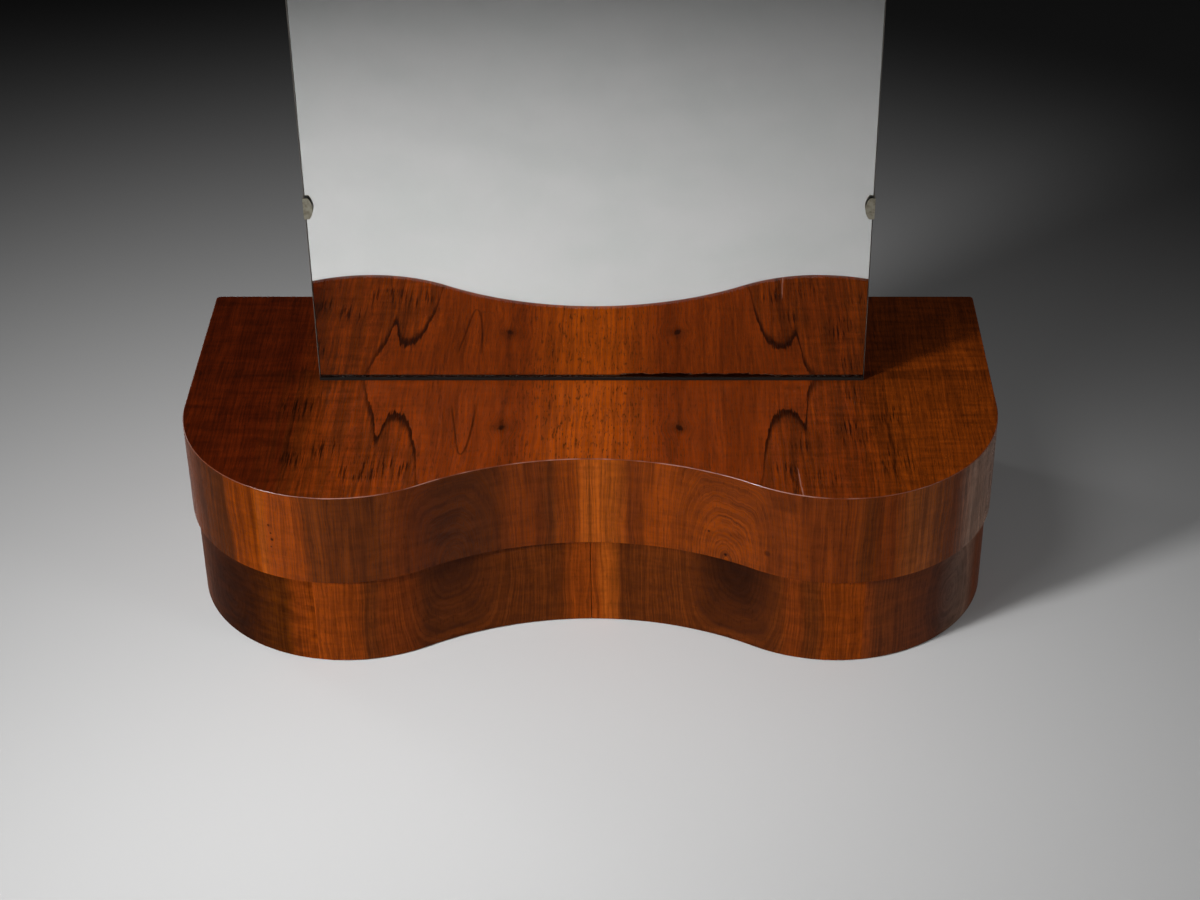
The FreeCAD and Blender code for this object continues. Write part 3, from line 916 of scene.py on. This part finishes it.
def tarnished_nickel(name):
    """Nickel-plated brass strip: soft grey shine, yellowed and browned where the plating has dulled."""
    material, shader, node = new_finish(name, Metallic=1.0)
    place = node("TexCoord", output="Object")
    bloom = grain(node, place, (0.006, 0.006, 0.006), 3.0)
    brush = grain(node, place, (0.0008, 0.0008, 0.012), 1.0)
    share = node("MapRange", bloom, 0.40, 0.72)
    feed(
        shader,
        Base_Color=node("Mix", share, solid("#aeaa99"), solid("#888270")),
        Roughness=node("MapRange", brush, *WIDE, 0.34, 0.48),
    )
    return material


def turned_steel(name):
    """Steel wood screw: darker than the nickel, with a trace of brown."""
    material, shader, node = new_finish(name, Metallic=1.0)
    rust = grain(node, node("TexCoord", output="Object"), (0.003, 0.003, 0.003))
    share = node("MapRange", rust, 0.5, 0.75)
    feed(
        shader,
        Base_Color=node("Mix", share, solid("#8b8a86"), solid("#5c4a3c")),
        Roughness=node("MapRange", rust, *WIDE, 0.3, 0.55),
    )
    return material


def brown_felt(name):
    """Strip of dark wool felt under the glass: matt, fuzzy, nearly black brown; its darkness is partly
    painted shade at the foot of the glass.
    """
    sheen = {"Sheen_Weight": 0.03, "Sheen_Roughness": 0.6}
    material, shader, node = new_finish(name, Specular_IOR_Level=0.1, **sheen)
    fuzz = grain(node, node("TexCoord", output="Object"), (0.0012, 0.0012, 0.0012))
    feed(
        shader,
        # Nearly black: partly painted shade where the glass stands on the felt.
        Base_Color=node("Mix", fuzz, solid("#0d0805"), solid("#1c120c")),
        Roughness=node("MapRange", fuzz, 0.2, 0.8, 0.85, 1.0),
        Normal=node("Bump", 0.6, 0.2 * MM, 1.0, fuzz),
    )
    return material


class PieceOperator:
    """What the operators share: the settings that they read from the scene."""

    bl_options = {"REGISTER", "UNDO"}

    @property
    def base(self):
        return bpy.context.scene.mirror_base

    @property
    def woods(self):
        return bpy.context.scene.mirror_woods

    @property
    def fittings(self):
        return bpy.context.scene.mirror_fittings


class OBJECT_OT_top_leaves(PieceOperator, bpy.types.Operator):
    """Lays the two leaves of the top, slotted for the backing panel, with a rounded arris that is pale with
    wear and a painted highlight
    """

    bl_idname = "object.mirror_top_leaves"
    bl_label = "Top leaves"

    def execute(self, context):
        arris = arris_wear_and_highlight("walnut_worn_arris", self.woods)
        for hand in HANDS:
            finish = top_walnut(f"walnut_top_{hand}", self.woods, hand)
            mesh = self.leaf()
            turn_to(mesh, hand)
            place_piece(
                mesh, f"top_leaf_{hand}", "case", [f"top_veneer_{hand}"], [finish, arris]
            )
        return {"FINISHED"}

    def leaf(self):
        base = self.base
        plan = Plan(base)
        mesh = bmesh.new()
        first = mesh.verts.new(plan.start + Vector((0, 0, TOP_HIGH.z)))
        plan.draw(mesh, [first], to_middle=True)
        fill_outline(mesh)
        slot_x = PANEL_HIGH.x + base.slot_gap
        slot_front = PANEL_LOW.y - base.slot_gap
        slot_back = PANEL_HIGH.y + base.slot_gap
        cut(mesh, (0, slot_front, 0), (0, 1, 0))
        cut(mesh, (0, slot_back, 0), (0, 1, 0))
        strip = [f for f in mesh.faces if slot_front < f.calc_center_median().y < slot_back]
        rim = [e for f in strip for e in f.edges]
        ends = [v for f in strip for v in f.verts]
        cut(mesh, (slot_x, 0, 0), (1, 0, 0), geom=list({*strip, *rim, *ends}))
        hole = [
            f
            for f in mesh.faces
            if slot_front < f.calc_center_median().y < slot_back and f.calc_center_median().x < slot_x
        ]
        bmesh.ops.delete(mesh, geom=hole, context="FACES")
        for face in mesh.faces:
            face.normal_update()
            if face.normal.z < 0:
                face.normal_flip()
        draw_out(mesh, mesh.faces[:], (0, 0, -base.veneer), keep=True)
        outer = [e for e in mesh.edges if self.on_arris(e, slot_x, slot_front, slot_back)]
        for face in round_edges(mesh, outer, base.arris, 4):
            face.material_index = 1
        return mesh

    def on_arris(self, edge, slot_x, slot_front, slot_back):
        """True for an edge of the top's rim, leaving out the middle line and the slot."""
        ends = [v.co for v in edge.verts]
        if any(abs(end.z - TOP_HIGH.z) > TOUCH for end in ends):
            return False
        if all(abs(end.x) < TOUCH for end in ends):
            return False
        in_slot = all(
            end.x < slot_x + TOUCH and slot_front - TOUCH < end.y < slot_back + TOUCH for end in ends
        )
        return not in_slot and edge.calc_face_angle(0.0) > SHARP_TURN


def wavy_leaf(plan, low, high, cuts):
    """Leaf bent round the front: an upright edge swept along the outline, cut off and thickened."""
    mesh = bmesh.new()
    foot = mesh.verts.new(plan.start + Vector((0, 0, low)))
    head = mesh.verts.new(plan.start + Vector((0, 0, high)))
    upright = mesh.edges.new((foot, head))
    plan.draw(mesh, [foot, head, upright], to_middle=False)
    bmesh.ops.remove_doubles(mesh, verts=mesh.verts[:], dist=TOUCH)
    for point, way in cuts:
        cut(mesh, point, way, drop=True)
    mesh.normal_update()
    front = min(mesh.faces, key=lambda face: face.calc_center_median().y)
    if front.normal.y > 0:
        bmesh.ops.reverse_faces(mesh, faces=mesh.faces[:])
    bmesh.ops.solidify(mesh, geom=mesh.faces[:], thickness=plan.sizes.veneer)
    return mesh


def leaf_figure(tier, hand, part):
    """What the grain does on one leaf: what every leaf has, what both hands share, what is its own."""
    own = f"{tier}_{hand}_{part}"
    return {**PLAIN_LEAF, **LEAVES[f"{tier}_{part}"], **OWN_MARKS[own], "bands": BANDS[own]}


def bend_leaves(woods, tier, plan, low, high, cuts):
    """Bends a tier's leaves round the front, and gives each with its hand, its part and its finish."""
    for hand in HANDS:
        for part, ends in cuts.items():
            mesh = wavy_leaf(plan, low, high, ends)
            turn_to(mesh, hand)
            map_leaf(mesh, plan)
            leaf = leaf_figure(tier, hand, part)
            finish = figured_walnut(f"walnut_{tier}_leaf_{hand}_{part}", woods, leaf)
            yield hand, part, mesh, finish


class OBJECT_OT_upper_leaves(PieceOperator, bpy.types.Operator):
    """Bends the upper tier's four leaves round the front and sides"""

    bl_idname = "object.mirror_upper_leaves"
    bl_label = "Upper leaves"

    def execute(self, context):
        joint = (self.base.upper_joint, 0, 0)
        behind = ((0, UPPER_HIGH.y, 0), (0, 1, 0))
        cuts = {"inner": [(joint, (1, 0, 0))], "outer": [(joint, (-1, 0, 0)), behind]}
        plan = Plan(self.base)
        leaves = bend_leaves(self.woods, "upper", plan, UPPER_LOW.z, UPPER_HIGH.z, cuts)
        for hand, part, mesh, finish in leaves:
            name = f"upper_leaf_{hand}_{part}"
            place_piece(mesh, name, "case", [f"upper_veneer_{hand}_{part}"], [finish])
        return {"FINISHED"}


class OBJECT_OT_drawer_leaves(PieceOperator, bpy.types.Operator):
    """Bends two leaves round each drawer front of the lower tier"""

    bl_idname = "object.mirror_drawer_leaves"
    bl_label = "Drawer leaves"

    def execute(self, context):
        base = self.base
        plan = Plan(base, base.overhang)
        joint = (base.lower_joint, 0, 0)
        middle = ((base.middle_gap / 2, 0, 0), (-1, 0, 0))
        seam = ((0, plan.swell.y, 0), (0, 1, 0))
        cuts = {"inner": [middle, (joint, (1, 0, 0))], "outer": [(joint, (-1, 0, 0)), seam]}
        leaves = bend_leaves(self.woods, "drawer", plan, LOWER_LOW.z, LOWER_HIGH.z, cuts)
        for hand, part, mesh, finish in leaves:
            name = f"drawer_leaf_{hand}_{part}"
            body = f"drawer_{hand}"
            place_piece(mesh, name, body, [f"drawer_{hand}_veneer_{part}"], [finish])
        return {"FINISHED"}


class OBJECT_OT_mirror_plate(PieceOperator, bpy.types.Operator):
    """Makes the glass plate with its ground edges and its silvered back"""

    bl_idname = "object.mirror_plate"
    bl_label = "Mirror plate"

    def execute(self, context):
        mesh = bmesh.new()
        back = GLASS_HIGH - Vector((0, self.fittings.silver_gap, 0))
        bmesh.ops.create_cube(mesh, size=1.0)
        bmesh.ops.scale(mesh, vec=back - GLASS_LOW, verts=mesh.verts[:])
        bmesh.ops.translate(mesh, vec=(back + GLASS_LOW) / 2, verts=mesh.verts[:])
        front = [e for e in mesh.edges if all(v.co.y < GLASS_LOW.y + TOUCH for v in e.verts)]
        round_edges(mesh, front, self.fittings.glass_bevel, 2)
        bmesh.ops.recalc_face_normals(mesh, faces=mesh.faces[:])
        for face in mesh.faces:
            if face.normal.y > FACING:
                face.material_index = 1
            elif face.normal.y > -FACING:
                face.material_index = 2
        finishes = [
            clear_glass("clear_plate_glass"),
            old_silvering("old_silvering"),
            ground_glass("ground_glass_edge", self.woods),
        ]
        place_piece(mesh, "mirror_plate", "case", ["mirror_glass"], finishes)
        return {"FINISHED"}


class OBJECT_OT_mirror_clips(PieceOperator, bpy.types.Operator):
    """Bends the nickel clips at the edges of the glass and drives their screws"""

    bl_idname = "object.mirror_clips"
    bl_label = "Clips and screws"

    def execute(self, context):
        nickel = tarnished_nickel("tarnished_nickel")
        heads = bmesh.new()
        for hand, side in HANDS.items():
            clips = bmesh.new()
            for level in self.levels():
                self.clip(clips, level)
                self.screw(heads, level, side)
            turn_to(clips, hand)
            nodes = [f"mirror_clips_{hand}"]
            place_piece(clips, f"clips_{hand}", "case", nodes, [nickel])
        bmesh.ops.recalc_face_normals(heads, faces=heads.faces[:])
        place_piece(heads, "clip_screw_heads", "case", ["clip_screws"], [nickel])
        return {"FINISHED"}

    def levels(self):
        sizes = self.fittings
        first = CLIP_LOW.z + sizes.clip_height / 2
        last = CLIP_HIGH.z - sizes.clip_height / 2
        step = (last - first) / (sizes.clip_count - 1)
        return [first + step * index for index in range(sizes.clip_count)]

    def clip(self, clips, level):
        """One clip: a rounded lip over the glass, folded back into a plate on the edge."""
        sizes = self.fittings
        half = sizes.clip_height / 2
        bulge = sizes.lip_middle - sizes.lip_end
        radius = (half**2 + bulge**2) / (2 * bulge)
        outer = CLIP_HIGH.x
        centre = Vector((outer - sizes.lip_middle + radius, CLIP_LOW.y, level))
        turn = 2 * math.asin(half / radius)
        mesh = bmesh.new()
        first = mesh.verts.new((outer - sizes.lip_end, CLIP_LOW.y, level - half))
        sweep(mesh, [first], LIP_STEPS, centre, turn, axis=(0, 1, 0))
        last = max(mesh.verts, key=lambda v: v.co.z)
        end = sweep(mesh, [last], 1, way=(sizes.lip_end, 0, 0))
        sweep(mesh, end, 1, way=(0, 0, -sizes.clip_height))
        fill_outline(mesh)
        cut(mesh, (outer - sizes.clip_sheet, 0, 0), (1, 0, 0))
        draw_out(mesh, mesh.faces[:], (0, sizes.clip_sheet, 0), keep=True)
        plate = [
            f
            for f in mesh.faces
            if f.normal.y > FACING and f.calc_center_median().x > outer - sizes.clip_sheet
        ]
        if len(plate) != 1:
            raise RuntimeError("the clip's plate has no single face to start from")
        draw_out(mesh, plate, (0, CLIP_HIGH.y - CLIP_LOW.y - sizes.clip_sheet, 0))
        bmesh.ops.remove_doubles(mesh, verts=mesh.verts[:], dist=TOUCH)
        bmesh.ops.recalc_face_normals(mesh, faces=mesh.faces[:])
        sharp = [e for e in mesh.edges if e.calc_face_angle(0.0) > SHARP_TURN]
        round_edges(mesh, sharp, sizes.clip_round, 2)
        join_in(mesh, clips)

    def screw(self, heads, level, side):
        """Round head with a driver's slot, on the clip's plate; the shank would lie unseen in the panel."""
        sizes = self.fittings
        rise = SCREW_HIGH.x - CLIP_HIGH.x
        mesh = bmesh.new()
        bmesh.ops.create_cone(
            mesh,
            cap_ends=True,
            segments=HEAD_STEPS,
            radius1=sizes.screw_head,
            radius2=sizes.screw_head * HEAD_CROWN,
            depth=rise,
        )
        rim = [e for e in mesh.edges if all(v.co.z > 0 for v in e.verts)]
        round_edges(mesh, rim, rise * HEAD_ROUNDED, 4)
        half = sizes.screw_slot / 2
        cut(mesh, (0, half, 0), (0, 1, 0))
        cut(mesh, (0, -half, 0), (0, 1, 0))
        floor = [f for f in mesh.faces if abs(f.calc_center_median().y) < half and f.normal.z > 0.4]
        draw_out(mesh, floor, (0, 0, -rise * HEAD_SLOTTED))
        # No two slots stand at the same angle.
        driven = Matrix.Rotation(0.6 + level * 2.3, 3, "Z")
        upright = Matrix.Rotation(side * math.pi / 2, 3, "Y")
        for turn in (driven, upright):
            bmesh.ops.rotate(mesh, cent=(0, 0, 0), matrix=turn, verts=mesh.verts[:])
        middle_y = (PANEL_LOW.y + PANEL_HIGH.y) / 2
        place = (side * (CLIP_HIGH.x + rise / 2), middle_y, level)
        bmesh.ops.translate(mesh, vec=place, verts=mesh.verts[:])
        join_in(mesh, heads)


class OBJECT_OT_carcase_finish(PieceOperator, bpy.types.Operator):
    """Gives every board, runner and screw that stays from the frame its finish"""

    bl_idname = "object.mirror_carcase_finish"
    bl_label = "Carcase finishes"

    def execute(self, context):
        poplar = straight_wood("poplar_core", "#a98a5e", "#8a6a42", "X", 0.006, 0.6)
        beech = straight_wood("waxed_beech", "#b98d5f", "#9a6f45", "Y", 0.004, 0.42)
        birch = straight_wood("birch_plywood", "#c7a77a", "#ad8a5c", "X", 0.012, 0.5)
        oak = straight_wood("waxed_oak", "#8d6a41", "#6c4d2c", "Y", 0.004, 0.4)
        side = straight_wood("walnut_side", "#4a2211", "#2c1208", "Z", 0.007, 0.3)
        back = straight_wood("walnut_back", "#6b3717", "#47200e", "Z", 0.010, 0.36)
        panel = straight_wood("walnut_panel", "#8a5a34", "#6a4024", "Z", 0.014, 0.45)
        steel = turned_steel("turned_steel")
        felt = brown_felt("brown_felt")
        finishes = {
            "glass_seat": felt,
            "cleat_screws": steel,
            "backing_panel": panel,
            "upper_veneer_back": back,
            "plinth_back": back,
            "plinth_side_left": side,
            "plinth_side_right": side,
            "runners_left": oak,
            "runners_right": oak,
            "drawer_stops": oak,
        }
        for hand in HANDS:
            for part in ("side_inner", "side_outer", "back"):
                finishes[f"drawer_{hand}_{part}"] = beech
            finishes[f"drawer_{hand}_bottom"] = birch
        for name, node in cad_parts.items():
            if node.hide_render:
                continue
            finish = finishes.get(name, poplar)
            for slot in node.material_slots:
                slot.material = finish
            if not node.material_slots:
                raise RuntimeError(f"{name} has no material slot")
        return {"FINISHED"}


class SCENE_OT_mirror_stage(PieceOperator, bpy.types.Operator):
    """Lays the floor, hangs the lamps and sets up the camera"""

    bl_idname = "scene.mirror_stage"
    bl_label = "Stage"

    def execute(self, context):
        scene = bpy.context.scene
        stage = scene.mirror_stage
        self.lay_floor(stage)
        for name, lamp in LAMPS.items():
            self.hang(f"{name}_lamp", getattr(stage, f"{name}_power"), *lamp)
        self.light_world(scene, stage)
        self.set_camera(scene, stage)
        scene.view_settings.view_transform = "Standard"
        return {"FINISHED"}

    def lay_floor(self, stage):
        mesh = bmesh.new()
        bmesh.ops.create_grid(mesh, x_segments=2, y_segments=2, size=FLOOR_HALF)
        data = bpy.data.meshes.new("floor")
        mesh.to_mesh(data)
        mesh.free()
        material, shader, node = new_finish("paper_floor", Roughness=0.9, Specular_IOR_Level=0.2)
        place = node("TexCoord", output="Object")
        from_pool = node(AWAY, place, POOL_MIDDLE)
        sideways = node("SeparateXYZ", from_pool)
        ahead = sideways.node.outputs["Y"]
        # The floor's colour paints a pool of light. It dies away more slowly towards the front, which the
        # mirror shows.
        ahead = node(LARGER, ahead, node(TIMES, ahead, 0.7))
        slanting = node(SCALED_PLUS, ahead, POOL_SLANT, sideways)
        pool = node(LENGTH, node("CombineXYZ", slanting, ahead))
        share = node("MapRange", pool, *POOL_REACH)
        feed(shader, Base_Color=node("Mix", share, solid(stage.floor), solid(stage.far_floor)))
        data.materials.append(material)
        floor = bpy.data.objects.new("floor", data)
        bpy.context.scene.collection.objects.link(floor)

    def hang(self, name, power, place, target, size, spread):
        data = bpy.data.lights.new(name, "AREA")
        data.shape = "DISK"
        data.size = size
        data.energy = power
        data.spread = spread
        lamp = bpy.data.objects.new(name, data)
        lamp.location = place
        lamp.rotation_euler = (Vector(target) - Vector(place)).to_track_quat("-Z", "Y").to_euler()
        bpy.context.scene.collection.objects.link(lamp)

    def light_world(self, scene, stage):
        world = bpy.data.worlds.new("studio")
        world.use_nodes = True
        scene.world = world
        node = functools.partial(add_node, world.node_tree)
        way = node("SeparateXYZ", node("TexCoord", output="Generated"))
        level = node("MapRange", way.node.outputs["Y"], -0.6, 0.6, stage.fill, stage.back_fill)
        background = world.node_tree.nodes["Background"]
        background.inputs["Color"].default_value = (1.0, 1.0, 1.0, 1.0)
        world.node_tree.links.new(level, background.inputs["Strength"])

    def set_camera(self, scene, stage):
        data = bpy.data.cameras.new("camera")
        data.lens = stage.lens
        data.sensor_width = SENSOR_WIDTH
        data.shift_x = stage.frame_shift
        data.dof.use_dof = False
        camera = bpy.data.objects.new("camera", data)
        camera.location = stage.eye
        camera.rotation_euler = (math.pi / 2 - stage.pitch, 0.0, 0.0)
        scene.collection.objects.link(camera)
        scene.camera = camera


OPERATORS = (
    OBJECT_OT_top_leaves,
    OBJECT_OT_upper_leaves,
    OBJECT_OT_drawer_leaves,
    OBJECT_OT_mirror_plate,
    OBJECT_OT_mirror_clips,
    OBJECT_OT_carcase_finish,
    SCENE_OT_mirror_stage,
)


class VIEW3D_PT_dressing_mirror(bpy.types.Panel):
    """Lists the settings and the operators"""

    bl_idname = "VIEW3D_PT_dressing_mirror"
    bl_label = "Dressing mirror"
    bl_space_type = "VIEW_3D"
    bl_region_type = "UI"
    bl_category = "Dressing mirror"

    def draw(self, context):
        for group, kind in GROUPS.items():
            box = self.layout.box()
            for setting in kind.__annotations__:
                box.prop(getattr(context.scene, group), setting)
        for operator in OPERATORS:
            self.layout.operator(operator.bl_idname)


CLASSES = (*GROUPS.values(), *OPERATORS, VIEW3D_PT_dressing_mirror)


def register():
    for kind in CLASSES:
        bpy.utils.register_class(kind)
    for group, kind in GROUPS.items():
        setattr(bpy.types.Scene, group, PointerProperty(type=kind))


def unregister():
    for group in GROUPS:
        delattr(bpy.types.Scene, group)
    for kind in reversed(CLASSES):
        bpy.utils.unregister_class(kind)


def main():
    register()
    bpy.ops.object.mirror_top_leaves()
    bpy.ops.object.mirror_upper_leaves()
    bpy.ops.object.mirror_drawer_leaves()
    bpy.ops.object.mirror_plate()
    bpy.ops.object.mirror_clips()
    bpy.ops.object.mirror_carcase_finish()
    bpy.ops.scene.mirror_stage()


if __name__ == "__main__":
    main()
